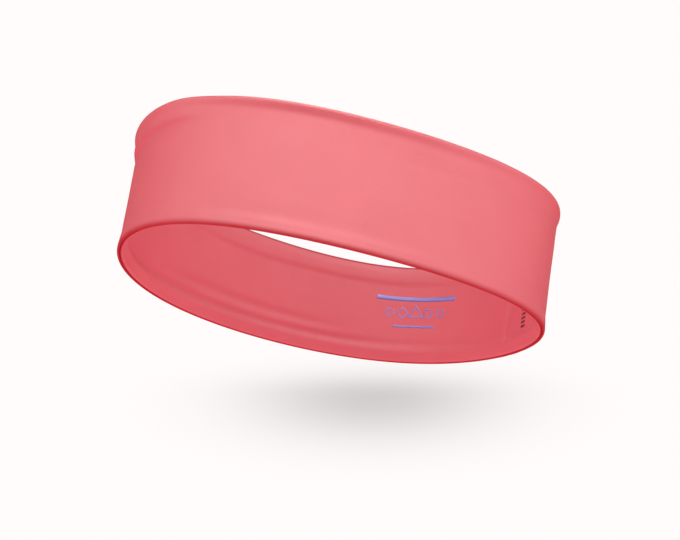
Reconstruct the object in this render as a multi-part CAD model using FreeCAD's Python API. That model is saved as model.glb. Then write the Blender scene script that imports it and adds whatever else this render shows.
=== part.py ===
import FreeCAD, Part
import math
import os

# Spa headband: a wide double-layer stretch-knit loop, shaped as it is worn on a head.
# Frame: +Z is the loop's axis, +X points to the nape, -X to the brow.
# The origin lies below the middle of the loop, in the plane of the lower rim. Lengths are mm.

# Driving dimensions
HEIGHT = 55.0           # lower rim to upper rim
HALF_LENGTH = 97.5      # brow to nape, halved, at mid height
HALF_WIDTH = 79.5       # temple to temple, halved, at mid height
NAPE_RADIUS = 78.0      # the plan is an egg of four tangent arcs
BROW_RADIUS = 69.0
FLARE = 2.0             # the upper rim stands this much further out than the lower rim

CLOTH = 0.6             # one layer of knit
FOLD_GAP = 0.1          # air inside a pressed fold
THICKNESS = 3.2         # outer face to lining face
RIM_ROUND = 0.4         # outer radius of a pressed fold
HEM = 9.0               # turned-in margin along both rims
LINING_INSET = 1.0      # the outer panel rolls this far over the lining at each rim

SEAM_AT = -6.0          # the back seam's distance round from the nape, along the cloth
TAB_WIDTH = 8.0         # seam allowance each side of the back seam, pressed open
TAB_CLEARANCE = 1.6     # from the hems' raw edges
WEB_WIDTH = 1.0         # where the two ends of a panel are caught together
WEB_BITE = 0.1          # how far the web runs into the layers that it joins

EDGE_THREAD_DROP = 1.6  # seam line below the lining's fold
EDGE_THREAD_AIR = 0.02  # clear of the margins on each side
OVERLOCK_HEIGHT = 0.9   # thread wrapped round the raw edges
SEAM_STITCH_PITCH = 3.0
SEAM_STITCH_WIDTH = 5.0
SEAM_STITCH_THREAD = 0.5
SEAM_STITCH_DEPTH = 0.25

PRINT_FILM = 0.15       # heat-set print on the lining
PRINT_MIDDLE = 59.0     # along the cloth from the nape
PRINT_HEIGHT = 27.0     # above the lower rim
SYMBOL_SIZE = 5.0
SYMBOL_LINE = 0.6
SYMBOL_PITCH = 7.4
LONG_BAR = (46.0, 2.4, 8.0)     # width, height, middle above the symbols
SHORT_BAR = (24.0, 1.2, -7.5)
BATCH_DISTANCE = -19.8          # along the cloth from the nape
BATCH_HEIGHT = 14.8
BATCH_DASH = (4.2, 1.1)         # width along the cloth, height
BATCH_PITCH = 2.0
BATCH_COUNT = 5

# Worked out from the above
FOLD = 2 * CLOTH + FOLD_GAP             # one pressed fold, wall to margin
GAP = THICKNESS - 2 * FOLD              # between the two panels' margins
MIDDLE = THICKNESS / 2
TOP = HEIGHT
UP = FreeCAD.Vector(0, 0, 1)


def plan_arcs():
    """The egg's four arcs as (centre, radius, start, end), counter-clockwise from the nape."""
    nape_x = HALF_LENGTH - NAPE_RADIUS
    brow_x = BROW_RADIUS - HALF_LENGTH
    # The side arc of radius R is centred at (sx, -(R - HALF_WIDTH)) and touches both end arcs.
    # Subtracting the two tangency conditions gives sx = slope * R + offset.
    span = nape_x - brow_x
    slope = (NAPE_RADIUS - BROW_RADIUS) / span
    offset = (nape_x ** 2 - brow_x ** 2 + BROW_RADIUS ** 2 - NAPE_RADIUS ** 2) / (2 * span)
    shift = offset - nape_x
    # What is left is a quadratic in R.
    a = slope ** 2
    b = 2 * slope * shift - 2 * HALF_WIDTH + 2 * NAPE_RADIUS
    c = shift ** 2 + HALF_WIDTH ** 2 - NAPE_RADIUS ** 2
    side_radius = (-b - math.sqrt(b * b - 4 * a * c)) / (2 * a)
    side_x = slope * side_radius + offset
    side_y = side_radius - HALF_WIDTH
    nape_end = math.atan2(side_y, nape_x - side_x)
    brow_start = math.atan2(side_y, brow_x - side_x)
    full = 2 * math.pi
    return [
        (FreeCAD.Vector(nape_x, 0, 0), NAPE_RADIUS, -nape_end, nape_end),
        (FreeCAD.Vector(side_x, -side_y, 0), side_radius, nape_end, brow_start),
        (FreeCAD.Vector(brow_x, 0, 0), BROW_RADIUS, brow_start, full - brow_start),
        (FreeCAD.Vector(side_x, side_y, 0), side_radius, full - brow_start, full - nape_end),
    ]


ARCS = plan_arcs()
NAPE = ARCS[0]


def place(arc, angle, u, z):
    """A point u inwards from the outer face at height z, on the flared wall."""
    centre, radius = arc[0], arc[1]
    out = radius - u + FLARE * (z / HEIGHT - 0.5)
    return centre + FreeCAD.Vector(out * math.cos(angle), out * math.sin(angle), z)


def section(arc, angle, outline):
    """A face from (u, z) points. A point with a third value is the middle of a round."""
    points = [place(arc, angle, p[0], p[1]) for p in outline]
    edges = []
    i = 0
    count = len(outline)
    while i < count:
        after = (i + 1) % count
        if len(outline[after]) == 3:
            beyond = (i + 2) % count
            edges.append(Part.Arc(points[i], points[after], points[beyond]).toShape())
            i += 2
        else:
            edges.append(Part.LineSegment(points[i], points[after]).toShape())
            i += 1
    return Part.Face(Part.Wire(edges))


def swept(arc, outline, start, end):
    """The outline turned about the arc's axis from one plan angle to another."""
    return section(arc, start, outline).revolve(arc[0], UP, math.degrees(end - start))


def loop(outline):
    """The outline carried all the way round the egg, as one solid."""
    parts = [swept(arc, outline, arc[2], arc[3]) for arc in ARCS]
    return parts[0].fuse(parts[1:]).removeSplitter()


def rectangle(u0, u1, z0, z1):
    return [(u0, z0), (u0, z1), (u1, z1), (u1, z0)]


def hemmed(low, high, margin, mirrored):
    """A wall with both edges folded in: a long C. Mirrored, it faces the other way."""
    r = RIM_ROUND
    bend = r * (1 - math.sqrt(0.5))
    outline = [
        (0, low + r),
        (0, high - r),
        (bend, high - bend, "round"),
        (r, high),
        (FOLD - r, high),
        (FOLD - bend, high - bend, "round"),
        (FOLD, high - r),
        (FOLD, high - margin),
        (FOLD - CLOTH, high - margin),
        (FOLD - CLOTH, high - CLOTH),
        (CLOTH, high - CLOTH),
        (CLOTH, low + CLOTH),
        (FOLD - CLOTH, low + CLOTH),
        (FOLD - CLOTH, low + margin),
        (FOLD, low + margin),
        (FOLD, low + r),
        (FOLD - bend, low + bend, "round"),
        (FOLD - r, low),
        (r, low),
        (bend, low + bend, "round"),
    ]
    if mirrored:
        outline = [(THICKNESS - p[0],) + p[1:] for p in outline]
    return outline


def nape_patch(u0, u1, z0, z1, s0, s1):
    """A curved plate at the back, between two distances along the cloth from the nape."""
    if u1 < u0:
        u0, u1 = u1, u0
    return swept(NAPE, rectangle(u0, u1, z0, z1), s0 / NAPE_RADIUS, s1 / NAPE_RADIUS)


def panel(low, high, margin, mirrored):
    """One cloth loop: the hemmed wall and its pressed-open seam allowance at the back."""
    wall = loop(hemmed(low, high, margin, mirrored))
    z0 = HEM + TAB_CLEARANCE
    z1 = TOP - HEM - TAB_CLEARANCE
    near, far = CLOTH + FOLD_GAP, FOLD
    web_near, web_far = CLOTH - WEB_BITE, CLOTH + FOLD_GAP + WEB_BITE
    if mirrored:
        near, far = THICKNESS - near, THICKNESS - far
        web_near, web_far = THICKNESS - web_near, THICKNESS - web_far
    tab = nape_patch(near, far, z0, z1, SEAM_AT - TAB_WIDTH, SEAM_AT + TAB_WIDTH)
    web_half = WEB_WIDTH / 2
    web = nape_patch(web_near, web_far, z0, z1, SEAM_AT - web_half, SEAM_AT + web_half)
    return wall.fuse([tab, web]).removeSplitter()


def edge_thread(z):
    """The row of thread that joins the two panels, lying between their margins."""
    r = GAP / 2 - EDGE_THREAD_AIR
    outline = [
        (MIDDLE - r, z - r / 2),
        (MIDDLE - r, z + r / 2),
        (MIDDLE, z + r),
        (MIDDLE + r, z + r / 2),
        (MIDDLE + r, z - r / 2),
        (MIDDLE, z - r),
    ]
    return loop(outline)


def overlock(z_low, z_high):
    """Thread over the raw edges of both margins."""
    near = CLOTH + FOLD_GAP
    return loop(rectangle(near, THICKNESS - near, z_low, z_high))


def seam_stitches(near, far):
    """Bars of thread across the pressed-open allowance, one above another."""
    z = HEM + TAB_CLEARANCE + SEAM_STITCH_PITCH / 2
    last = TOP - HEM - TAB_CLEARANCE
    left = SEAM_AT - SEAM_STITCH_WIDTH / 2
    right = SEAM_AT + SEAM_STITCH_WIDTH / 2
    bars = []
    while z + SEAM_STITCH_THREAD < last:
        bars.append(nape_patch(near, far, z, z + SEAM_STITCH_THREAD, left, right))
        z += SEAM_STITCH_PITCH
    return Part.makeCompound(bars)


def film(z0, z1, s0, s1):
    """Print film on the lining's face."""
    return nape_patch(THICKNESS, THICKNESS + PRINT_FILM, z0, z1, s0, s1)


def printed_bar(bar):
    width, height, above = bar
    middle = PRINT_HEIGHT + above
    left, right = PRINT_MIDDLE - width / 2, PRINT_MIDDLE + width / 2
    return film(middle - height / 2, middle + height / 2, left, right)


def prism(distance, corners, size, turn):
    """A regular prism, or a cylinder with no corners, that points out through the lining."""
    angle = distance / NAPE_RADIUS
    outward = FreeCAD.Vector(math.cos(angle), math.sin(angle), 0)
    across = UP.cross(outward)
    start = NAPE[0] + outward * (NAPE_RADIUS / 2) + UP * PRINT_HEIGHT
    if corners == 0:
        return Part.makeCylinder(size / 2, NAPE_RADIUS, start, outward)
    reach = size / (2 * math.cos(math.pi / corners))
    ring = []
    for k in range(corners + 1):
        a = turn + 2 * math.pi * k / corners
        ring.append(start + across * (reach * math.cos(a)) + UP * (reach * math.sin(a)))
    return Part.Face(Part.makePolygon(ring)).extrude(outward * NAPE_RADIUS)


def care_print():
    """Plain line symbols between two bars. They are generic outlines, with no lettering."""
    # corners and turn: circle, square, triangle, diamond, circle
    symbols = [
        (0, 0.0),
        (4, math.pi / 4),
        (3, math.pi / 2),
        (4, 0.0),
        (0, 0.0),
    ]
    pieces = [printed_bar(LONG_BAR), printed_bar(SHORT_BAR)]
    first = PRINT_MIDDLE - SYMBOL_PITCH * (len(symbols) - 1) / 2
    for k, (corners, turn) in enumerate(symbols):
        distance = first + SYMBOL_PITCH * k
        sheet = film(
            PRINT_HEIGHT - SYMBOL_SIZE,
            PRINT_HEIGHT + SYMBOL_SIZE,
            distance - SYMBOL_SIZE,
            distance + SYMBOL_SIZE,
        )
        outside = prism(distance, corners, SYMBOL_SIZE, turn)
        inside = prism(distance, corners, SYMBOL_SIZE - 2 * SYMBOL_LINE, turn)
        pieces.append(sheet.common(outside.cut(inside)))
    return Part.makeCompound(pieces)


def batch_marks():
    """A column of plain dashes beside the back seam."""
    width, height = BATCH_DASH
    first = BATCH_HEIGHT - BATCH_PITCH * (BATCH_COUNT - 1) / 2
    dashes = []
    for k in range(BATCH_COUNT):
        z = first + BATCH_PITCH * k
        dashes.append(
            film(z - height / 2, z + height / 2, BATCH_DISTANCE - width, BATCH_DISTANCE)
        )
    return Part.makeCompound(dashes)


lining_low = LINING_INSET
lining_high = TOP - LINING_INSET
seam_low = lining_low + EDGE_THREAD_DROP
seam_high = lining_high - EDGE_THREAD_DROP
stitch_near = MIDDLE - GAP / 2
stitch_far = MIDDLE + GAP / 2

NODES = {
    "outer_panel": panel(0.0, TOP, HEM, False),
    "inner_lining": panel(lining_low, lining_high, HEM - LINING_INSET, True),
    "upper_edge_thread": edge_thread(seam_high),
    "lower_edge_thread": edge_thread(seam_low),
    "upper_overlock_thread": overlock(TOP - HEM - OVERLOCK_HEIGHT, TOP - HEM),
    "lower_overlock_thread": overlock(HEM, HEM + OVERLOCK_HEIGHT),
    "outer_seam_stitches": seam_stitches(stitch_near, stitch_near + SEAM_STITCH_DEPTH),
    "lining_seam_stitches": seam_stitches(stitch_far - SEAM_STITCH_DEPTH, stitch_far),
    "care_print": care_print(),
    "batch_marks": batch_marks(),
}

os.makedirs("parts", exist_ok=True)
for name, shape in NODES.items():
    shape.exportStep(os.path.join("parts", name + ".step"))
    sizes = [round(v, 1) for v in (shape.BoundBox.XLength, shape.BoundBox.YLength, shape.BoundBox.ZLength)]
    print(name, "solids", len(shape.Solids), "valid", shape.isValid(), "mm", sizes)
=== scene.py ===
import math

import bpy
import numpy as np
from mathutils import Matrix, Vector


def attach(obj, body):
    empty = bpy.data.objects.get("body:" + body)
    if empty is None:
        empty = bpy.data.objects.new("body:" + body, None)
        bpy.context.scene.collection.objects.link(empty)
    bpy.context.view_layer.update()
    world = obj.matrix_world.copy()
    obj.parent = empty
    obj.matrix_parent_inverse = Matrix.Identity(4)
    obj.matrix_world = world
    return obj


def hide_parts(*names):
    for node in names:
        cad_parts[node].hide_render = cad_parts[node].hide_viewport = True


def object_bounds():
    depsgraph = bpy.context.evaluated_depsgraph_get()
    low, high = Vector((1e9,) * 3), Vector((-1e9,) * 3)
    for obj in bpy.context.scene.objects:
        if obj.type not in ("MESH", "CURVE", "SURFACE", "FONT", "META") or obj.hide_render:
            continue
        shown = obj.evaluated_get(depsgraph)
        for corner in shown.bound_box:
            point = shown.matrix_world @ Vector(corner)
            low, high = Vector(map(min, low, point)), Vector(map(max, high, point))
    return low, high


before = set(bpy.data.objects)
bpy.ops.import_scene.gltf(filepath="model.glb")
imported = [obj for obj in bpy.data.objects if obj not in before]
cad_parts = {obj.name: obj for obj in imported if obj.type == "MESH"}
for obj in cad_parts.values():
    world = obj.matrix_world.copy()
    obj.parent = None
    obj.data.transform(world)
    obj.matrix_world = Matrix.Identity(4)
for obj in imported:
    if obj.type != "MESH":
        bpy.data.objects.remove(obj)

# The spa headband's looks: two knit panels with turned rims, their seams, thread and print.
# Lengths are in mm here, except in the studio at the end, and MM turns them into metres.
# A place on the band is (s, u, z): s along the cloth from the nape, counter-clockwise
# seen from above, u inwards from the outer face, and z up from the lower rim.

cad_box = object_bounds()
MM = 0.001
BODY = "root"

# ---------------------------------------------------------------- smooth curves


def bell(x, width):
    return np.exp(-(x / width) ** 2)


def ramp(low, high, x):
    """0 below low, 1 above high, and a smooth curve between."""
    f = np.clip((x - low) / (high - low), 0, 1)
    return f * f * (3 - 2 * f)


def window(s, start, end, soft):
    """1 between two distances along the cloth, fading over soft at each end."""
    return ramp(start - soft, start + soft, s) * (1 - ramp(end - soft, end + soft, s))


# ---------------------------------------------------------------- the loop's plan

HEIGHT = cad_box[1].z / MM      # of the cloth, from rim to rim
FLARE = 2.0                     # the upper rim is this much further out than the lower one
HALF_LENGTH = cad_box[1].x / MM - FLARE / 2
HALF_WIDTH = cad_box[1].y / MM - FLARE / 2
SQUARENESS = 0.02               # fuller than an ellipse between its ends and its sides
EGG = 0.06                      # wider towards the nape
CLOTH = 0.6                     # one layer of knit
BAND = 3.2                      # both panels and their margins
HEM = 9.0                       # turned-in margin
LIFT = 1.6                      # keeps the lowest point of the wavy rim at the box's floor

# Once, twice and three times round the loop, each rim rises and dips by these amounts.
LOW_WAVES = ((-0.46, 0.23), (1.61, 0.06), (-0.57, 0.13))
HIGH_WAVES = ((0.56, -0.20), (1.30, -0.59), (-0.57, -0.41))

WAIST = 0.8                     # the wall is drawn in this much between its rims,
WAIST_LOW = (1.5, 7.6)          # beginning between these heights over the lower rim
WAIST_HIGH = (5.0, 0.5)         # and ending between these distances under the upper one
# The outer panel rolls over the lining at the rims. For each mm inwards the lower rim sits this
# much higher and the upper rim this much lower. Away from the rims that fades out.
LOW_TUCK = 0.26
LOW_TUCK_OUT = (2, 9)           # distances from the rim between which it fades
HIGH_TUCK = 0.5
HIGH_TUCK_OUT = (9, 2)


def plan(t, grow):
    """The loop's plan at angle t from the nape, and its outward normal."""
    a, b, q = HALF_LENGTH + grow, HALF_WIDTH + grow, SQUARENESS
    fit = 1 / (1 - q)
    cx = (np.cos(t) - q * np.cos(3 * t)) * fit
    sy = (np.sin(t) + q * np.sin(3 * t)) * fit
    dcx = (-np.sin(t) + 3 * q * np.sin(3 * t)) * fit
    dsy = (np.cos(t) + 3 * q * np.cos(3 * t)) * fit
    dx = a * dcx
    dy = b * (dsy * (1 + EGG * cx) + sy * EGG * dcx)
    size = np.hypot(dx, dy)
    return a * cx, b * sy * (1 + EGG * cx), dy / size, -dx / size


ARC_STEPS = 4000


def arc_table():
    """Distance along the cloth at mid height against the plan's angle."""
    t = np.linspace(0, 2 * math.pi, ARC_STEPS + 1)
    x, y, _, _ = plan(t, 0)
    along = np.concatenate([[0], np.cumsum(np.hypot(np.diff(x), np.diff(y)))])
    return t, along


ANGLES, ALONG = arc_table()
LOOP = float(ALONG[-1])


def around(s, middle):
    """Signed distance along the cloth from a place on the loop."""
    return np.mod(s - middle + LOOP / 2, LOOP) - LOOP / 2


def rim_wave(t, waves):
    """How far a rim rises at angle t, in mm."""
    return sum(c * np.cos(k * t) + d * np.sin(k * t) for k, (c, d) in enumerate(waves, 1))


def under_top(low, high, z):
    """A ramp between two distances under the upper rim."""
    return ramp(HEIGHT - low, HEIGHT - high, z)


def place(s, u, z):
    """Where a place on the band is in the shared frame, in metres."""
    t = np.interp(np.mod(s, LOOP), ALONG, ANGLES)
    share = z / HEIGHT
    x, y, nx, ny = plan(t, FLARE * (share - 0.5))
    wave = rim_wave(t, LOW_WAVES) * (1 - share) + rim_wave(t, HIGH_WAVES) * share
    tuck = LOW_TUCK * (1 - ramp(*LOW_TUCK_OUT, z)) - HIGH_TUCK * under_top(*HIGH_TUCK_OUT, z)
    drawn_in = WAIST * ramp(*WAIST_LOW, z) * (1 - under_top(*WAIST_HIGH, z))
    deep = u + drawn_in
    return np.stack([x - deep * nx, y - deep * ny, z + LIFT + wave + tuck * u], -1) * MM


# ---------------------------------------------------------------- slack by simulation

SLACK_FROM = 3.0        # the wall is free above this height, and as far below the upper rim
SLACK_COLUMNS = 216
SLACK_ROWS = 25
SLACK_SHARE = 0.05      # the free wall is cut this much taller than the space between its rims
SLACK_FRAMES = 24
SLACK_CAP = 0.3         # it moves the cloth no further than this
SLACK_EVENED = 40       # passes that even it out along the cloth


def slack_mesh():
    """One coarse layer of the wall, its two edges pinned, with a rest shape that is taller."""
    s = np.arange(SLACK_COLUMNS)[:, None] * LOOP / SLACK_COLUMNS
    z = np.linspace(SLACK_FROM, HEIGHT - SLACK_FROM, SLACK_ROWS)[None, :]
    points = place(s, BAND / 2 + 0 * s * z, z + 0 * s)
    i = np.arange(SLACK_COLUMNS)[:, None]
    j = np.arange(SLACK_ROWS - 1)[None, :]
    i2 = (i + 1) % SLACK_COLUMNS
    corners = [i * SLACK_ROWS + j, i2 * SLACK_ROWS + j]
    corners += [i2 * SLACK_ROWS + j + 1, i * SLACK_ROWS + j + 1]
    mesh = bpy.data.meshes.new("slack")
    mesh.from_pydata(points.reshape(-1, 3), [], np.stack(corners, -1).reshape(-1, 4))
    wall = bpy.data.objects.new("slack", mesh)
    bpy.context.collection.objects.link(wall)
    pins = wall.vertex_groups.new(name="pins")
    ends = (0, SLACK_ROWS - 1)
    held = [a * SLACK_ROWS + b for a in range(SLACK_COLUMNS) for b in ends]
    pins.add(held, 1.0, "REPLACE")
    wall.shape_key_add(name="hung")
    cut = wall.shape_key_add(name="cut")
    middle = points[:, SLACK_ROWS // 2, 2].mean()
    taller = points.copy()
    taller[..., 2] = middle + (points[..., 2] - middle) * (1 + SLACK_SHARE)
    cut.data.foreach_set("co", taller.reshape(-1))
    return wall, cut, points


def simulate_slack():
    """How far the slack knit stands out between its rims, in mm, on the coarse grid. It is
    evened out along the cloth, and held to SLACK_CAP either way."""
    wall, cut, start = slack_mesh()
    modifier = wall.modifiers.new("cloth", "CLOTH")
    settings = modifier.settings
    settings.vertex_group_mass = "pins"
    settings.rest_shape_key = cut
    settings.quality = 6
    settings.mass = 0.0002
    settings.tension_stiffness = 12
    settings.compression_stiffness = 12
    settings.bending_stiffness = 0.12
    settings.air_damping = 3
    modifier.point_cache.frame_end = SLACK_FRAMES
    scene = bpy.context.scene
    for step in range(1, SLACK_FRAMES + 1):
        scene.frame_set(step)
    shown = wall.evaluated_get(bpy.context.evaluated_depsgraph_get())
    settled = np.empty(start.size)
    shown.data.vertices.foreach_get("co", settled)
    scene.frame_set(1)
    s = np.arange(SLACK_COLUMNS)[:, None] * LOOP / SLACK_COLUMNS
    t = np.interp(s, ALONG, ANGLES)
    _, _, nx, ny = plan(t, 0)
    moved = settled.reshape(start.shape) - start
    out = (moved[..., 0] * nx + moved[..., 1] * ny) / MM
    bpy.data.objects.remove(wall, do_unlink=True)
    for _ in range(SLACK_EVENED):
        out = (np.roll(out, 1, 0) + 2 * out + np.roll(out, -1, 0)) / 4
    return SLACK_CAP * np.tanh(out / SLACK_CAP)


slack_grid = simulate_slack()


def slack(s, z):
    """The simulated slack anywhere on the wall, blended smoothly between the grid's points."""
    a = np.mod(s, LOOP) / LOOP * SLACK_COLUMNS
    b = (z - SLACK_FROM) / (HEIGHT - 2 * SLACK_FROM) * (SLACK_ROWS - 1)
    inside = (b > 0) & (b < SLACK_ROWS - 1)
    b = np.clip(b, 0, SLACK_ROWS - 1.001)
    i = np.floor(a).astype(int) % SLACK_COLUMNS
    j = np.floor(b).astype(int)
    fa = ramp(0, 1, a - np.floor(a))
    fb = ramp(0, 1, b - j)
    low = slack_grid[i, j] * (1 - fb) + slack_grid[i, j + 1] * fb
    after = (i + 1) % SLACK_COLUMNS
    high = slack_grid[after, j] * (1 - fb) + slack_grid[after, j + 1] * fb
    return (low * (1 - fa) + high * fa) * inside


# ---------------------------------------------------------------- the cloth's relief


def ripple(s, z, seed):
    """A slow, smooth unevenness that closes round the loop."""
    t = 2 * math.pi * s / LOOP
    a = np.sin(3 * t + 1.3 * seed + 0.05 * z) + 0.7 * np.sin(5 * t - 2.1 * seed - 0.09 * z)
    return (a + 0.5 * np.sin(8 * t + 0.7 * seed + 0.13 * z)) / 2.2


def free_wall(z):
    """0 at both rims and 1 half way between them."""
    return np.sin(math.pi * np.clip(z / HEIGHT, 0, 1))


# In the two relief functions a line is one feature of the cloth, or a place that one follows.
# The number in front of a feature is its height. window(s, from, to, soft) says where it is round
# the loop. bell(z - middle, width) is a ridge or a groove that runs along the band, and
# ramp(low, high, z) is a step. All are in mm.


def outer_relief(s, z):
    """How far the outer panel stands out, in mm."""
    curl = -0.43 * bell(z - 2.6, 2.2) - 0.18 * bell(z - 7.5, 2.4)
    low_hem = 0.10 * (1 - ramp(8.0, 10.5, z))
    crease = window(s, 252, 322, 14)
    hem_line = HEIGHT - HEM - 0.4 + 0.8 * ripple(s, 0, 2)
    high_hem = (0.06 + 1.1 * crease) * ramp(hem_line - 1.4, hem_line + 2.2, z)
    pulled = -0.55 * crease * bell(z - hem_line + 1.6, 1.9)
    high_dip = -0.10 * window(s, 340, 540, 30) * bell(z - HEIGHT + 4.6, 1.8)
    slant = HEIGHT - 14 + 5.5 * ramp(415, 505, s)
    second = -0.16 * window(s, 415, 500, 18) * bell(z - slant, 1.6)
    high_roll = 0.4 * (1 - 0.4 * crease) * bell(z - HEIGHT + 2.2, 2.2)
    body = 0.2 * ripple(s, z, 1) * free_wall(z) + slack(s, z)
    return curl + low_hem + high_hem + pulled + high_dip + second + high_roll + body


def lining_relief(s, z):
    """How far the lining stands in towards the head, in mm."""
    left = window(s, 92, 268, 26)
    low_roll = 0.75 * bell(z - 4.6, 2.5)
    low_line = 9.1 + 0.7 * ripple(s, 0, 4)
    low_groove = -(0.3 + 0.75 * left) * bell(z - low_line, 1.8)
    second_line = 15.2 + 0.9 * ripple(s, 0, 6)
    second_groove = -0.95 * window(s, 112, 205, 20) * bell(z - second_line, 2.2)
    between = 0.2 * window(s, 100, 230, 25) * bell(z - 12, 2.2)
    high_line = HEIGHT - HEM - 2.6 + 0.7 * ripple(s, 0, 5)
    high_hem = (0.4 + 0.35 * window(s, 60, 175, 20)) * ramp(high_line - 1.4, high_line + 1.4, z)
    body = 0.2 * ripple(s, z, 3) * free_wall(z) - slack(s, z)
    return low_roll + low_groove + second_groove + between + high_hem + body


SEAM_AT = -6.0          # the back seams lie this far round from the nape
SEAM_TWIN = 2.3         # between the lining's seam line and the row of stitches beside it
SEAM_LINE = (-0.85, 0.8)        # height and width of the sunken line
SEAM_ROW = (-0.45, 0.65)        # and of the stitch row's groove
SEAM_TAB = 8.0          # pressed-open allowance on each side
SEAM_TAB_STEP = 0.16    # how far it pushes the panel out
SEAM_TAB_SOFT = 1.0     # half the width of that step
SEAM_AT_RIMS = 0.25     # share of the line and the row that is left at the rims
SEAM_FADE = (1, 6)      # it fades between these distances from a rim


def seam_relief(s, z, twin):
    """The sunken seam line, its stitch row and the low step of the allowance behind it. A panel
    with no stitch row has a twin of 0."""
    d = around(s, SEAM_AT)
    line = SEAM_LINE[0] * bell(d - twin / 2, SEAM_LINE[1])
    row = SEAM_ROW[0] * bell(d + twin / 2, SEAM_ROW[1]) if twin else 0
    tab = SEAM_TAB_STEP * window(d, -SEAM_TAB, SEAM_TAB, SEAM_TAB_SOFT)
    near_rims = 1 - ramp(*SEAM_FADE, z) + under_top(*reversed(SEAM_FADE), z)
    return (line + row) * (1 - (1 - SEAM_AT_RIMS) * near_rims) + tab


FACE_SKIN = (0.2, 1.5)  # a panel has its full relief this near its face, and none this far in


def outer_shift(s, u, z):
    """What the outer panel's relief adds to u. Outwards is less."""
    weight = 1 - ramp(*FACE_SKIN, u)
    return -weight * (outer_relief(s, z) + seam_relief(s, z, 0))


def lining_shift(s, u, z):
    """What the lining's relief adds to u. Towards the head is more."""
    full, none = FACE_SKIN
    weight = ramp(BAND - none, BAND - full, u)
    return weight * (lining_relief(s, z) + seam_relief(s, z, SEAM_TWIN))


# ---------------------------------------------------------------- the two panels

# Half of a rim: the outer panel's face from its raw edge inside the band, round the fold and up
# the wall, as (u, z). The lining's is its mirror image, and they meet in the band's middle.
RIM = [
    (1.60, HEM), (1.60, 6.0), (1.58, 2.6), (1.57, 1.0),
    (1.42, 0.28), (1.05, 0.0), (0.55, 0.22), (0.14, 1.1), (0.0, 2.6), (0.0, 5.0), (0.0, 9.0),
]
RIM_STEPS = 16          # points of the curve between two of these
FINE_ROW = 0.34         # between rows of the mesh round a rim
COARSE_ROW = 1.15       # and up the wall
COARSE_FROM = (2.5, 6.5)        # the rows grow apart between these heights
FINE_STATION = 0.28     # between columns of the mesh at the back seam
COARSE_STATION = 1.45   # and round the loop
SEAM_ZONE = 9           # how far each side of the seam the columns stay close
STATION_STEPS = 8000


def smooth_path(points):
    """A Catmull-Rom curve through the points."""
    p = np.array([points[0], *points, points[-1]], float)
    f = np.linspace(0, 1, RIM_STEPS, endpoint=False)[:, None]
    runs = []
    for a, b, c, d in zip(p, p[1:], p[2:], p[3:]):
        cubic = 2 * b + (c - a) * f + (2 * a - 5 * b + 4 * c - d) * f ** 2
        runs.append((cubic + (3 * b - a - 3 * c + d) * f ** 3) / 2)
    return np.concatenate([*runs, p[-1:]])


def spread(values, steps):
    """Resampled so that each step is about as long as steps says it is there."""
    cost = np.concatenate([[0], np.cumsum(steps)])
    return np.interp(np.linspace(0, cost[-1], int(cost[-1]) + 1), cost, values)


def rim_path():
    """The rim's curve, cut into the rows of the mesh."""
    path = smooth_path(RIM)
    run = np.hypot(*np.diff(path, axis=0).T)
    z = (path[1:, 1] + path[:-1, 1]) / 2
    step = FINE_ROW + (COARSE_ROW - FINE_ROW) * ramp(*COARSE_FROM, z)
    return np.stack([spread(path[:, k], run / step) for k in (0, 1)], 1)


def face_path():
    """The outer panel's whole face in section, from one raw edge to the other."""
    low = rim_path()
    rows = int((HEIGHT - 2 * low[-1, 1]) / COARSE_ROW)
    z = np.linspace(low[-1, 1], HEIGHT - low[-1, 1], rows)[1:-1]
    wall = np.stack([np.full_like(z, low[-1, 0]), z], 1)
    high = low[::-1] * [1, -1] + [0, HEIGHT]
    return np.concatenate([low, wall, high])


def back_path(face):
    """The cloth's other face, one thickness away."""
    run = np.gradient(face, axis=0)
    run /= np.hypot(run[:, 0], run[:, 1])[:, None]
    normal = np.stack([run[:, 1], -run[:, 0]], 1)
    return face + normal * CLOTH


def mirrored(path):
    """The lining's section is the outer panel's, turned to face the head."""
    return path * [-1, 1] + [BAND, 0]


def stations():
    """Places round the loop, close together at the back seam."""
    s = np.linspace(0, LOOP, STATION_STEPS + 1)
    middle = (s[1:] + s[:-1]) / 2
    near = bell(around(middle, SEAM_AT), SEAM_ZONE)
    step = COARSE_STATION - (COARSE_STATION - FINE_STATION) * near
    return spread(s, np.diff(s) / step)[:-1]


def linked(piece_name, mesh):
    """A smooth-shaded object in the scene."""
    mesh.polygons.foreach_set("use_smooth", [True] * len(mesh.polygons))
    mesh.update()
    piece = bpy.data.objects.new(piece_name, mesh)
    bpy.context.collection.objects.link(piece)
    return piece


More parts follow.
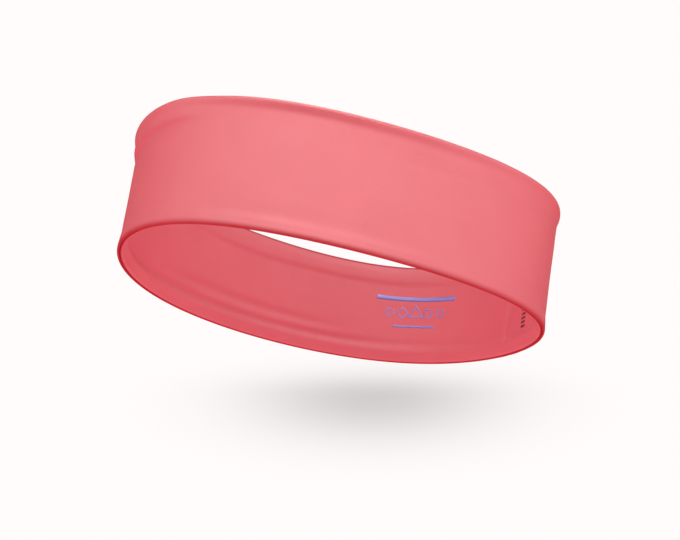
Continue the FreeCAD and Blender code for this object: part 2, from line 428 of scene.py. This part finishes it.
def sheet_mesh(name, face, back, shift):
    """A closed loop of cloth. shift says how far each place on the face moves in u, and the
    cloth's other side moves with it."""
    ring = np.concatenate([face, back[::-1]])
    face_twice = np.concatenate([face, face[::-1]])
    s = stations()
    count, rows = len(s), len(ring)
    moved = shift(s[:, None], face_twice[None, :, 0], face_twice[None, :, 1])
    points = place(s[:, None], ring[None, :, 0] + moved, ring[None, :, 1])
    i = np.arange(count)[:, None]
    j = np.arange(rows)[None, :]
    i2 = (i + 1) % count
    j2 = (j + 1) % rows
    quads = np.stack([i * rows + j, i2 * rows + j, i2 * rows + j2, i * rows + j2], -1)
    mesh = bpy.data.meshes.new(name)
    mesh.from_pydata(points.reshape(-1, 3), [], quads.reshape(-1, 4))
    # The UVs are the cloth's own: s along it, and the way across it from its lower raw edge.
    far = np.concatenate([[0], np.cumsum(np.hypot(*np.diff(face, axis=0).T))])
    far = np.concatenate([far, far[::-1]])
    across = np.broadcast_to(far[j], (count, rows))
    across2 = np.broadcast_to(far[j2], (count, rows))
    s1 = np.broadcast_to(s[:, None], (count, rows))
    s2 = np.broadcast_to(np.append(s[1:], LOOP)[:, None], (count, rows))
    uv = np.stack([s1, across, s2, across, s2, across2, s1, across2], -1) * MM
    mesh.uv_layers.new(name="cloth").data.foreach_set("uv", uv.reshape(-1))
    return linked(name, mesh)


face = face_path()
back = back_path(face)
outer = sheet_mesh("outer_knit_panel", face, back, outer_shift)
lining = sheet_mesh("lining_knit_panel", mirrored(face), mirrored(back), lining_shift)

# ---------------------------------------------------------------- print on the lining

FILM = 0.09             # thickness of the heat-set print
FILM_PROUD = 0.05       # how far it stands out of the lining's face
FILM_POINTS = 4         # across a ribbon, on each side
BAR_STEP = 0.4          # between points along a bar
ROUND = 48              # corners of an outline that stands for a circle
SIDE_POINTS = 10        # along each side of an outline with few corners
PRINT_MIDDLE = 59.0     # along the cloth from the nape
PRINT_HEIGHT = 27.0     # above the lower rim
SYMBOL_SIZE = 5.0
SYMBOL_LINE = 0.6
SYMBOL_PITCH = 7.4
# The corners of each symbol's outline, and the turn of the first corner.
SYMBOLS = [(ROUND, 0.0), (4, math.pi / 4), (3, math.pi / 2), (4, 0.0), (ROUND, 0.0)]
LONG_BAR = (46.0, 2.4, 8.0)         # width, height, middle above the symbols
SHORT_BAR = (24.0, 1.2, -7.5)
BATCH_DISTANCE = -19.8              # the end of the dashes that is nearer the seam
BATCH_HEIGHT = 14.8                 # their middle, above the lower rim
BATCH_DASH = (4.2, 1.1)             # width along the cloth, height
BATCH_PITCH = 2.0
BATCH_COUNT = 5


def lining_face(s, z, proud):
    """Points on the lining's face, or a little proud of it."""
    u = np.full_like(s, BAND)
    return place(s, u + lining_shift(s, u, z) + proud, z)


def ribbon(edge_a, edge_b, closed):
    """A thin film between two edges of (s, z) points: its points, faces and UVs."""
    f = np.linspace(0, 1, FILM_POINTS)[None, :, None]
    rows = edge_a[:, None] * (1 - f) + edge_b[:, None] * f
    rows = np.concatenate([rows, rows[:, ::-1]], 1)
    count, ring = rows.shape[:2]
    proud = np.repeat([FILM_PROUD, FILM_PROUD - FILM], FILM_POINTS)[None, :]
    points = lining_face(rows[..., 0], rows[..., 1], proud)
    faces = []
    for i in range(count if closed else count - 1):
        i2 = (i + 1) % count
        for j in range(ring):
            j2 = (j + 1) % ring
            faces.append((i * ring + j, i2 * ring + j, i2 * ring + j2, i * ring + j2))
    if not closed:
        faces.append(tuple(range(ring)))
        faces.append(tuple((count - 1) * ring + j for j in reversed(range(ring))))
    return points.reshape(-1, 3), faces, rows.reshape(-1, 2)


def bar_edges(middle, height, left, right):
    """The lower and upper edges of an upright bar."""
    s = np.linspace(left, right, int((right - left) / BAR_STEP))
    low = np.stack([s, np.full_like(s, middle - height / 2)], 1)
    return low, low + [0, height]


def outline_edges(distance, corners, turn, size):
    """A regular outline about one symbol's middle, each side cut into short runs."""
    reach = size / (2 * math.cos(math.pi / corners))
    a = turn + 2 * math.pi * np.arange(corners + 1) / corners
    corner = np.stack([np.cos(a), np.sin(a)], 1) * reach
    runs = 1 if corners == ROUND else SIDE_POINTS
    f = np.linspace(0, 1, runs, endpoint=False)[:, None]
    sides = [p * (1 - f) + q * f for p, q in zip(corner, corner[1:])]
    return np.concatenate(sides) + [distance, PRINT_HEIGHT]


def film_piece(name, ribbons):
    """All the ribbons of one print, as one mesh."""
    points, faces, places = [], [], []
    for part_points, part_faces, part_places in ribbons:
        first = len(points)
        points.extend(part_points)
        places.extend(part_places)
        faces.extend(tuple(v + first for v in loop) for loop in part_faces)
    mesh = bpy.data.meshes.new(name)
    mesh.from_pydata(points, [], faces)
    layer = mesh.uv_layers.new(name="cloth")
    for loop in mesh.loops:
        layer.data[loop.index].uv = places[loop.vertex_index] * MM
    return linked(name, mesh)


def label_ribbons():
    """Five plain outline shapes between two bars."""
    parts = []
    for width, height, above in (LONG_BAR, SHORT_BAR):
        middle = PRINT_HEIGHT + above
        left, right = PRINT_MIDDLE - width / 2, PRINT_MIDDLE + width / 2
        parts.append(ribbon(*bar_edges(middle, height, left, right), False))
    first = PRINT_MIDDLE - SYMBOL_PITCH * (len(SYMBOLS) - 1) / 2
    for k, (corners, turn) in enumerate(SYMBOLS):
        distance = first + SYMBOL_PITCH * k
        outside = outline_edges(distance, corners, turn, SYMBOL_SIZE)
        inside = outline_edges(distance, corners, turn, SYMBOL_SIZE - 2 * SYMBOL_LINE)
        parts.append(ribbon(outside, inside, True))
    return parts


def batch_ribbons():
    """A short column of dashes, left of the seam."""
    width, height = BATCH_DASH
    first = BATCH_HEIGHT - BATCH_PITCH * (BATCH_COUNT - 1) / 2
    left = BATCH_DISTANCE - width
    middles = [first + BATCH_PITCH * k for k in range(BATCH_COUNT)]
    return [ribbon(*bar_edges(z, height, left, BATCH_DISTANCE), False) for z in middles]


label = film_piece("label_print", label_ribbons())
batch = film_piece("batch_print", batch_ribbons())

# ---------------------------------------------------------------- thread

THREAD = 0.12           # radius
THREAD_TIP = 0.35       # share of the radius at the open ends
EDGE_STITCH = 2.5       # length of one lockstitch along the rims
EDGE_STITCH_POINTS = 10
EDGE_DROP = 2.6         # from the rim
EDGE_ASIDE = 0.74       # from the band's middle to the thread on each side
EDGE_DIP = 0.62         # how much nearer it is where it goes through the cloth
EDGE_SPREAD = 0.1       # the two threads run this far above and below their line
OVERLOCK_PITCH = 2.2
OVERLOCK_POINTS = 12
OVERLOCK_ASIDE = 0.78   # half the thread's width about the two raw edges
OVERLOCK_REACH = 1.25   # half its reach up and down
OVERLOCK_BACK = 1.0     # its middle is this far back from the raw edges
SEAM_STITCH = 2.4
SEAM_STITCH_GAP = 0.5
SEAM_STITCH_POINTS = 9
SEAM_STITCH_SINK = 0.16     # how deep each stitch's ends go into the cloth
SEAM_STITCH_PROUD = 0.02    # its middle stands this far out of the lining's face
SEAM_STITCH_UNDER = 0.1     # and this far out of the outer panel's inner side
SEAM_ROW_ENDS = 4.5         # the lining's row of stitches ends this far from the rims


def thread_piece(name, paths, closed):
    """Thread along each path of points, as one mesh. Open ends are tapered."""
    data = bpy.data.curves.new(name, "CURVE")
    data.dimensions = "3D"
    data.bevel_depth = THREAD * MM
    data.bevel_resolution = 1
    data.use_fill_caps = True
    for path in paths:
        spline = data.splines.new("POLY")
        spline.points.add(len(path) - 1)
        flat = np.concatenate([path, np.ones((len(path), 1))], 1)
        spline.points.foreach_set("co", flat.reshape(-1))
        spline.use_cyclic_u = closed
        if not closed:
            for end in (0, len(path) - 1):
                spline.points[end].radius = THREAD_TIP
    curve = bpy.data.objects.new(name + "_line", data)
    bpy.context.collection.objects.link(curve)
    shown = curve.evaluated_get(bpy.context.evaluated_depsgraph_get())
    mesh = bpy.data.meshes.new_from_object(shown)
    bpy.data.objects.remove(curve, do_unlink=True)
    mesh.name = name
    return linked(name, mesh)


def lockstitch(z):
    """Needle and bobbin thread, each on its own side of the two margins. They meet between."""
    count = int(LOOP / EDGE_STITCH)
    s = np.linspace(0, LOOP, count * EDGE_STITCH_POINTS, endpoint=False)
    dip = np.abs(np.cos(math.pi * s * count / LOOP)) ** 6
    paths = []
    for side in (-1, 1):
        u = BAND / 2 + side * (EDGE_ASIDE - EDGE_DIP * dip)
        paths.append(place(s, u, z + side * EDGE_SPREAD * (1 - dip)))
    return paths


def overlock(z, inside):
    """Thread wound round both margins' raw edges. inside is the way to the wall's middle."""
    count = int(LOOP / OVERLOCK_PITCH)
    s = np.linspace(0, LOOP, count * OVERLOCK_POINTS, endpoint=False)
    turn = 2 * math.pi * count * s / LOOP
    back = inside * (OVERLOCK_REACH * np.cos(turn) - OVERLOCK_BACK)
    return [place(s, BAND / 2 + OVERLOCK_ASIDE * np.sin(turn), z + back)]


def seam_row(s, u_at, low, high):
    """A column of stitches up a back seam. u_at says how deep in the band the thread lies."""
    pitch = SEAM_STITCH + SEAM_STITCH_GAP
    count = int((high - low) / pitch)
    f = np.linspace(0, 1, SEAM_STITCH_POINTS)
    sunk = SEAM_STITCH_SINK * (2 * f - 1) ** 4
    paths = []
    for k in range(count):
        z = low + pitch * k + SEAM_STITCH * f
        along = np.full_like(z, s)
        paths.append(place(along, u_at(along, z, sunk), z))
    return paths


def on_lining(s, z, sunk):
    u = np.full_like(s, BAND)
    return u + lining_shift(s, u, z) + SEAM_STITCH_PROUD - sunk


def inside_outer(s, z, sunk):
    u = np.full_like(s, CLOTH)
    return u + outer_shift(s, 0 * u, z) + SEAM_STITCH_UNDER - sunk


low_edge = thread_piece("lower_rim_stitches", lockstitch(EDGE_DROP), True)
high_edge = thread_piece("upper_rim_stitches", lockstitch(HEIGHT - EDGE_DROP), True)
low_overlock = thread_piece("lower_margin_overlock", overlock(HEM, 1), True)
high_overlock = thread_piece("upper_margin_overlock", overlock(HEIGHT - HEM, -1), True)
outer_row = seam_row(SEAM_AT, inside_outer, HEM + 1, HEIGHT - HEM - 1)
lining_at = SEAM_AT - SEAM_TWIN / 2
lining_row = seam_row(lining_at, on_lining, SEAM_ROW_ENDS, HEIGHT - SEAM_ROW_ENDS)
outer_seam = thread_piece("outer_seam_row", outer_row, False)
lining_seam = thread_piece("lining_seam_row", lining_row, False)

# ---------------------------------------------------------------- materials

WALE = 0.42             # knit columns, side by side
COURSE = 0.34           # and rows
LOOP_SLANT = 1.3        # rows that a loop's leg climbs for each column's width it crosses
LOOP_SHARE = 0.35       # height of the rows against the columns
LOOP_SHADE = 0.16       # how much the loops show in the colour
KNIT_DEPTH = 0.12       # of the bump
PANEL_BUMP = 0.35       # strength of the bump on the panels
PRINT_BUMP = 0.25       # and through the print
PRINT_ROUGHNESS = 0.5
UNEVEN_SCALE = 60       # of the dye's unevenness, for each metre
FOLD_DULLING = 0.85     # share of the shine that is lost at the folds
SHEEN = 0.03
SHEEN_ROUGHNESS = 0.5
SHEEN_TINT = (1.0, 0.6, 0.6)
FUZZ_SCALE = 9000       # of the thread's fuzz, for each metre
DYE_SCALE = 700         # and of its dye's unevenness
FUZZ_DEPTH = 0.05
BLEND_STOPS = (0.3, 0.8)    # the dark colour's place and the light one's, from 0 to 1
FACE_WIDTH = float(np.hypot(*np.diff(face, axis=0).T).sum())    # of a panel, edge to edge
# Painted shade at the rim folds, a darker, redder colour in place of the shade under the rolled
# rims:
# from the lower raw edge to the fold's middle, the same from the upper raw edge, how far from
# there it is full, and how far away it is gone.
OUTER_FOLD_SHADE = (8.7, 6.8, 0.5, 4.2)
LINING_FOLD_SHADE = (8.7, 9.4, 0.3, 1.0)


class Wiring:
    """Short ways to wire a node tree. In an input's name an underscore stands for a space."""

    def __init__(self, tree):
        self.tree = tree

    def node(self, kind, **inputs):
        made = self.tree.nodes.new(kind)
        for key, value in inputs.items():
            made.inputs[key.replace("_", " ")].default_value = value
        return made

    def link(self, source, socket):
        self.tree.links.new(source, socket)

    def math(self, kind, *values):
        made = self.node("ShaderNodeMath")
        made.operation = kind
        for socket, value in zip(made.inputs, values):
            if isinstance(value, (int, float)):
                socket.default_value = value
            else:
                self.link(value, socket)
        return made.outputs[0]

    def smooth_range(self, value, low, high):
        """0 at low, 1 at high, and a smooth curve between."""
        made = self.node("ShaderNodeMapRange", From_Min=low, From_Max=high)
        made.interpolation_type = "SMOOTHSTEP"
        self.link(value, made.inputs["Value"])
        return made.outputs[0]

    def coordinates(self, kind):
        """X, Y and Z of one of the Texture Coordinate node's outputs."""
        split = self.node("ShaderNodeSeparateXYZ")
        self.link(self.node("ShaderNodeTexCoord").outputs[kind], split.inputs[0])
        return [split.outputs[axis] for axis in "XYZ"]


class Shader(Wiring):
    """A Principled material."""

    def __init__(self, name, roughness, specular):
        self.material = bpy.data.materials.new(name)
        self.material.use_nodes = True
        super().__init__(self.material.node_tree)
        self.inputs = self.tree.nodes["Principled BSDF"].inputs
        self.inputs["Roughness"].default_value = roughness
        self.inputs["Specular IOR Level"].default_value = specular

    def noise(self, scale, detail):
        cloud = self.node("ShaderNodeTexNoise", Scale=scale, Detail=detail)
        where = self.node("ShaderNodeTexCoord")
        self.link(where.outputs["Object"], cloud.inputs["Vector"])
        return cloud.outputs["Fac"]

    def blend(self, amount, dark, light):
        """The base colour runs from dark to light as amount grows."""
        stops = self.node("ShaderNodeValToRGB")
        for element, at, colour in zip(stops.color_ramp.elements, BLEND_STOPS, (dark, light)):
            element.position = at
            element.color = (*colour, 1)
        self.link(amount, stops.inputs[0])
        self.link(stops.outputs[0], self.inputs["Base Color"])
        return stops.outputs[0]

    def mix_in_painted_shade(self, colour, amount, deep):
        """Painted shade: the base colour turns into the darker colour deep where amount is 1."""
        choice = self.node("ShaderNodeMix")
        choice.data_type = "RGBA"
        self.link(amount, choice.inputs[0])
        self.link(colour, choice.inputs[6])
        choice.inputs[7].default_value = (*deep, 1)
        self.link(choice.outputs[2], self.inputs["Base Color"])

    def bump(self, height, strength, distance):
        made = self.node("ShaderNodeBump", Strength=strength, Distance=distance)
        self.link(height, made.inputs["Height"])
        self.link(made.outputs[0], self.inputs["Normal"])


def knit(name, dark, light, roughness, specular, strength):
    """Plain jersey: columns of slanted loops, on the cloth's own coordinates. It gives the
    shader, its colour and the distance across the cloth."""
    shader = Shader(name, roughness, specular)
    uv = shader.node("ShaderNodeUVMap")
    uv.uv_map = "cloth"
    split = shader.node("ShaderNodeSeparateXYZ")
    shader.link(uv.outputs[0], split.inputs[0])
    wale = shader.math("MULTIPLY", split.outputs[0], 1 / (WALE * MM))
    course = shader.math("MULTIPLY", split.outputs[1], 1 / (COURSE * MM))
    across = shader.math("PINGPONG", wale, 0.5)
    slanted = shader.math("ADD", course, shader.math("MULTIPLY", across, LOOP_SLANT))
    loops = shader.math("SINE", shader.math("MULTIPLY", slanted, 2 * math.pi))
    column = shader.math("SINE", shader.math("MULTIPLY", across, math.pi))
    height = shader.math("ADD", shader.math("MULTIPLY", loops, LOOP_SHARE), column)
    shader.bump(height, strength, KNIT_DEPTH * MM)
    shown = shader.math("MULTIPLY", height, LOOP_SHADE)
    shade = shader.math("ADD", shown, shader.noise(UNEVEN_SCALE, detail=4))
    return shader, shader.blend(shade, dark, light), split.outputs[1]


def cloth(name, dark, light, deep, folds, roughness, specular):
    """The panels' knit, with painted shade round each rim's fold: a darker, redder colour there
    stands in for the shade under the rolled rim, and the shine is duller there.
    """
    shader, colour, across = knit(name, dark, light, roughness, specular, PANEL_BUMP)
    low, high, full, gone = folds
    apart = [
        shader.math("ABSOLUTE", shader.math("SUBTRACT", across, at * MM))
        for at in (low, FACE_WIDTH - high)
    ]
    nearest = shader.math("MINIMUM", *apart)
    # painted shade: fold is 1 where the darker fold colour is full, and it also dulls the shine
    # there
    fold = shader.smooth_range(nearest, gone * MM, full * MM)
    shader.mix_in_painted_shade(colour, fold, deep)
    dull = shader.math("MULTIPLY", fold, -FOLD_DULLING * specular)
    shader.link(shader.math("ADD", dull, specular), shader.inputs["Specular IOR Level"])
    shader.inputs["Sheen Weight"].default_value = SHEEN
    shader.inputs["Sheen Roughness"].default_value = SHEEN_ROUGHNESS
    shader.inputs["Sheen Tint"].default_value = (*SHEEN_TINT, 1)
    return shader.material


def film(name, dark, light, specular):
    """Print that is thin enough for the knit to show through."""
    shader, _, _ = knit(name, dark, light, PRINT_ROUGHNESS, specular, PRINT_BUMP)
    return shader.material


def thread_material(name, dark, light):
    """Spun thread: fine fuzz and a little unevenness of dye."""
    shader = Shader(name, roughness=0.6, specular=0.5)
    fuzz = shader.noise(FUZZ_SCALE, detail=2)
    shader.bump(fuzz, strength=0.4, distance=FUZZ_DEPTH * MM)
    shader.blend(shader.noise(DYE_SCALE, detail=2), dark, light)
    return shader.material


OUTER_DARK, OUTER_LIGHT = (0.695, 0.063, 0.086), (0.72, 0.071, 0.094)
LINING_DARK, LINING_LIGHT = (0.68, 0.080, 0.105), (0.71, 0.090, 0.116)
# painted shade: the darker colour that the rim folds turn to, in place of the shade under them
PAINTED_FOLD_SHADE = (0.49, 0.011, 0.02)
OUTER_GLOSS = (0.5, 0.45)       # roughness, specular level
LINING_GLOSS = (0.6, 0.25)
outer_cloth = cloth("outer_knit", OUTER_DARK, OUTER_LIGHT, PAINTED_FOLD_SHADE, OUTER_FOLD_SHADE, *OUTER_GLOSS)
lining_cloth = cloth("lining_knit", LINING_DARK, LINING_LIGHT, PAINTED_FOLD_SHADE, LINING_FOLD_SHADE, *LINING_GLOSS)
thread = thread_material("thread", (0.50, 0.03, 0.045), (0.64, 0.05, 0.065))
violet = film("print_violet", (0.12, 0.08, 0.42), (0.20, 0.14, 0.50), 0.5)
dark_print = film("print_dark", (0.17, 0.015, 0.03), (0.22, 0.02, 0.04), 0.2)

# piece, the node that it stands for, the record's slot, its material
PIECES = [
    (outer, "outer_panel", "outer_knit", outer_cloth),
    (lining, "inner_lining", "lining_knit", lining_cloth),
    (high_edge, "upper_edge_thread", "thread", thread),
    (low_edge, "lower_edge_thread", "thread", thread),
    (high_overlock, "upper_overlock_thread", "thread", thread),
    (low_overlock, "lower_overlock_thread", "thread", thread),
    (outer_seam, "outer_seam_stitches", "thread", thread),
    (lining_seam, "lining_seam_stitches", "thread", thread),
    (label, "care_print", "print_violet", violet),
    (batch, "batch_marks", "print_dark", dark_print),
]
for piece, node, slot, material in PIECES:
    piece.data.materials.clear()
    piece.data.materials.append(material)
    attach(piece, BODY)
    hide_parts(node)

# ---------------------------------------------------------------- studio

CAMERA_AZIMUTH = -25.99
CAMERA_ELEVATION = -20.13
CAMERA_ROLL = 9.04
CAMERA_DISTANCE = 469.9 * MM
CAMERA_LENS = 54.9
CAMERA_SHIFT = (0.0021, -0.032)
TARGET = Vector((0, 0, (HEIGHT / 2 + LIFT) * MM))
BACKDROP = (1.0, 0.973, 0.965)
BACKDROP_RADIUS = 8.0
FLOOR_RADIUS = 0.6
FLOOR_FULL = 0.15               # the floor begins to fade this far from the middle
SHADOW_AZIMUTH = 150.5          # the painted shadow hangs in front of the dome, this way from
SHADOW_ELEVATION = 11.8         # the band
SHADOW_ROLL = 8.2
SHADOW_DISTANCE = 6.6
SHADOW_SPREAD = (0.83, 0.154, 0.28)     # metres to each side, upwards and downwards
SHADOW_DEPTH = 0.36             # share of the light that it takes at its middle
# The even light all round: its strength at these shares of the way from straight down to up.
SKY = ((0.15, 1.47), (0.5, 0.3), (0.9, 1.18))
LIGHT_DISTANCE = 1.4
LIGHT_SIZE = 1.5
# name, azimuth, elevation, watts, and whether it is matt: those light the cloth's colour, and
# the others only shine in it
LIGHTS = [
    ("key", -26, 60, 65, False),
    ("front", -26, 15, 9.5, False),
    ("left", -86, 15, 23, False),
    ("right", 34, 15, 25, False),
    ("left_fill", -116, -8, 7, True),
    ("right_fill", 64, -8, 7, True),
]


class StageShader(Wiring):
    """A material for the stage, with nothing wired to its output yet."""

    def __init__(self, name):
        self.material = bpy.data.materials.new(name)
        self.material.use_nodes = True
        super().__init__(self.material.node_tree)
        self.tree.nodes.remove(self.tree.nodes["Principled BSDF"])
        self.out = self.tree.nodes["Material Output"].inputs["Surface"]


def direction(azimuth, elevation):
    """Towards a place round the object: azimuth 0 is -Y, and 90 is +X."""
    a, e = math.radians(azimuth), math.radians(elevation)
    return Vector((math.sin(a) * math.cos(e), -math.cos(a) * math.cos(e), math.sin(e)))


def place_facing(item, at, back, roll):
    """Moves item so that its Z axis lies along back. roll turns it about that axis, in degrees
    from level."""
    right = Vector((0, 0, 1)).cross(back).normalized()
    up = back.cross(right)
    turn = math.radians(roll)
    right2 = right * math.cos(turn) + up * math.sin(turn)
    up2 = up * math.cos(turn) - right * math.sin(turn)
    axes = Matrix((right2, up2, back)).transposed()
    item.matrix_world = Matrix.Translation(at) @ axes.to_4x4()


def make_camera():
    data = bpy.data.cameras.new("camera")
    camera = bpy.data.objects.new("camera", data)
    bpy.context.collection.objects.link(camera)
    back = direction(CAMERA_AZIMUTH, CAMERA_ELEVATION)
    place_facing(camera, TARGET + back * CAMERA_DISTANCE, back, CAMERA_ROLL)
    data.lens = CAMERA_LENS
    data.sensor_width = 36
    data.shift_x, data.shift_y = CAMERA_SHIFT
    data.clip_start = 0.01
    data.clip_end = 50
    bpy.context.scene.camera = camera


def make_world():
    """Soft light from all round, which lights the cloth but doesn't shine in it."""
    world = bpy.data.worlds.new("studio")
    bpy.context.scene.world = world
    world.use_nodes = True
    sky = Wiring(world.node_tree)
    _, _, up = sky.coordinates("Generated")
    height = sky.node("ShaderNodeMapRange", From_Min=-1)
    sky.link(up, height.inputs["Value"])
    stops = sky.node("ShaderNodeValToRGB")
    sky.link(height.outputs[0], stops.inputs[0])
    elements = stops.color_ramp.elements
    elements.new(0.5)
    for element, (at, strength) in zip(elements, SKY):
        element.position = at
        element.color = (strength, strength, strength, 1)
    sky.link(stops.outputs[0], sky.tree.nodes["Background"].inputs["Color"])
    world.cycles_visibility.camera = False
    world.cycles_visibility.glossy = False


def stage(item, material):
    """Part of the stage. Only the camera sees it, so it adds no light and casts no shadow."""
    item.data.materials.append(material)
    for way in ("diffuse", "glossy", "transmission", "volume_scatter", "shadow"):
        setattr(item, "visible_" + way, False)


def make_backdrop():
    """A pale dome all round."""
    bpy.ops.mesh.primitive_uv_sphere_add(segments=96, ring_count=48, radius=BACKDROP_RADIUS)
    dome = bpy.context.object
    dome.name = "backdrop"
    dome.location = TARGET
    shader = StageShader("backdrop")
    glow = shader.node("ShaderNodeEmission", Color=(*BACKDROP, 1))
    shader.link(glow.outputs[0], shader.out)
    stage(dome, shader.material)


def staged_plane(name, half_width, half_height, material):
    """A flat sheet of the stage, level and about the origin until it is placed."""
    signs = [(-1, -1), (1, -1), (1, 1), (-1, 1)]
    corners = [(x * half_width, y * half_height, 0) for x, y in signs]
    mesh = bpy.data.meshes.new(name)
    mesh.from_pydata(corners, [], [(0, 1, 2, 3)])
    plane = bpy.data.objects.new(name, mesh)
    bpy.context.collection.objects.link(plane)
    stage(plane, material)
    return plane


def make_soft_shadow():
    """A faint shadow low on the backdrop: clear film that dims what is behind it."""
    shader = StageShader("soft_shadow")
    x, y, _ = shader.coordinates("Object")
    aside, above, below = SHADOW_SPREAD
    wide = shader.math("DIVIDE", x, aside)
    high = shader.math("DIVIDE", shader.math("MAXIMUM", y, 0), above)
    low = shader.math("DIVIDE", shader.math("MINIMUM", y, 0), below)
    parts = [shader.math("MULTIPLY", v, v) for v in (wide, high, low)]
    far = shader.math("ADD", parts[0], shader.math("ADD", parts[1], parts[2]))
    soft = shader.math("POWER", math.exp(-1), far)
    shade = shader.math("SUBTRACT", 1, shader.math("MULTIPLY", soft, SHADOW_DEPTH))
    clear = shader.node("ShaderNodeBsdfTransparent")
    shader.link(shade, clear.inputs["Color"])
    shader.link(clear.outputs[0], shader.out)
    card = staged_plane("soft_shadow", 3 * aside, 3 * below, shader.material)
    away = direction(SHADOW_AZIMUTH, SHADOW_ELEVATION)
    place_facing(card, TARGET + away * SHADOW_DISTANCE, -away, SHADOW_ROLL)


def make_floor():
    """A pale floor under the lower rim. It fades out, and isn't there from underneath."""
    shader = StageShader("floor")
    x, y, _ = shader.coordinates("Object")
    parts = [shader.math("MULTIPLY", v, v) for v in (x, y)]
    far = shader.math("SQRT", shader.math("ADD", *parts))
    edge = shader.smooth_range(far, FLOOR_FULL, FLOOR_RADIUS)
    side = shader.node("ShaderNodeNewGeometry")
    gone = shader.math("MAXIMUM", edge, side.outputs["Backfacing"])
    pale = shader.node("ShaderNodeBsdfDiffuse", Color=(*BACKDROP, 1))
    clear = shader.node("ShaderNodeBsdfTransparent")
    mix = shader.node("ShaderNodeMixShader")
    shader.link(gone, mix.inputs[0])
    shader.link(pale.outputs[0], mix.inputs[1])
    shader.link(clear.outputs[0], mix.inputs[2])
    shader.link(mix.outputs[0], shader.out)
    staged_plane("floor", FLOOR_RADIUS, FLOOR_RADIUS, shader.material)


def area_light(name, azimuth, elevation, watts, matt):
    """A round lamp that faces the band."""
    data = bpy.data.lights.new(name, "AREA")
    data.shape = "DISK"
    data.size = LIGHT_SIZE
    data.energy = watts
    light = bpy.data.objects.new(name, data)
    bpy.context.collection.objects.link(light)
    back = direction(azimuth, elevation)
    light.location = TARGET + back * LIGHT_DISTANCE
    light.rotation_mode = "QUATERNION"
    light.rotation_quaternion = back.to_track_quat("Z", "Y")
    light.visible_camera = False
    light.visible_diffuse = matt
    light.visible_glossy = not matt


bpy.context.scene.view_settings.view_transform = "Standard"
make_camera()
make_world()
make_backdrop()
make_soft_shadow()
make_floor()
for light in LIGHTS:
    area_light(*light)
